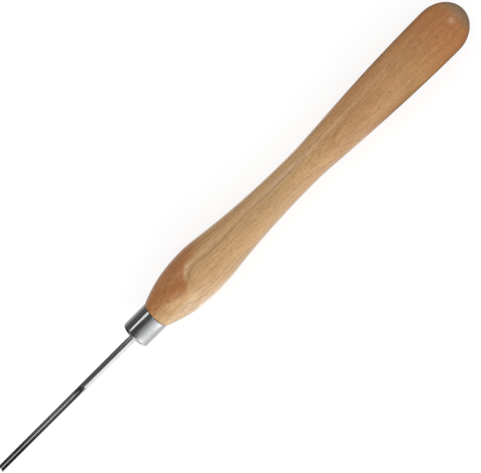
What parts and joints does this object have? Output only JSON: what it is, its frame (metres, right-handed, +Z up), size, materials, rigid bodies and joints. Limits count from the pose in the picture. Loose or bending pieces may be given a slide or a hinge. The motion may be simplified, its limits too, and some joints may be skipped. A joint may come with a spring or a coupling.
{
  "type": "bowl gouge",
  "caption": "Round steel bar with a milled flute and a ground bevel, held by a metal ferrule in a long turned wooden handle, for hollowing bowls on a lathe.",
  "frame": {"origin": "halfway along the tool, on the surface that the handle's belly rests on", "axes": "+X along the tool towards the cutting edge, +Z up, the way the flute opens"},
  "size_m": [0.5066, 0.0426, 0.0425],
  "materials": {
    "beech": "satin lacquer",
    "plated_steel": "polished, with fine turning lines",
    "tool_steel": "ground along the bar"
  },
  "bodies": {
    "root": {"handle": "beech", "ferrule": "plated_steel", "gouge_bar": "tool_steel"}
  },
  "joints": []
}
